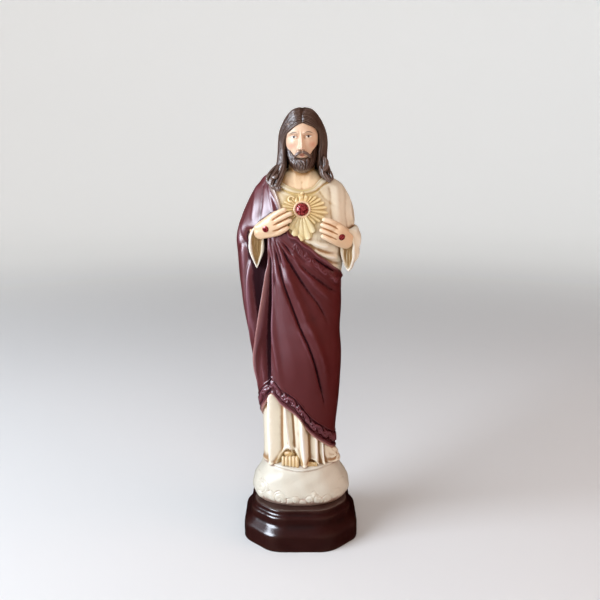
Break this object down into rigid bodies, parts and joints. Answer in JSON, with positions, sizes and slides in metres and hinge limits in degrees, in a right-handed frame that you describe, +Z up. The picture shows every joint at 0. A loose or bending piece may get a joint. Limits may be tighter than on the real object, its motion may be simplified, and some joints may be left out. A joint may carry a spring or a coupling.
{
  "type": "sacred heart statue",
  "caption": "Standing robed figure with hands at a radiant heart on the chest, on a cloud mound and a stepped eight-sided plinth.",
  "frame": {"origin": "centre of the plinth's underside", "axes": "+Z up, -Y the way the figure faces, +X to the right of someone who looks at its front"},
  "size_m": [0.0861, 0.081, 0.2998],
  "materials": {
    "plinth_paint": "very dark brown gloss paint on cast plaster",
    "painted_plaster": "hand-painted cast plaster under clear satin varnish: maroon mantle, ivory tunic, gold details",
    "red_stone": "glossy faceted dark red stone, foil-backed"
  },
  "bodies": {
    "root": {"plinth": "plinth_paint", "figure": "painted_plaster", "heart_stone": "red_stone", "right_hand_stone": "red_stone", "left_hand_stone": "red_stone"}
  },
  "joints": []
}
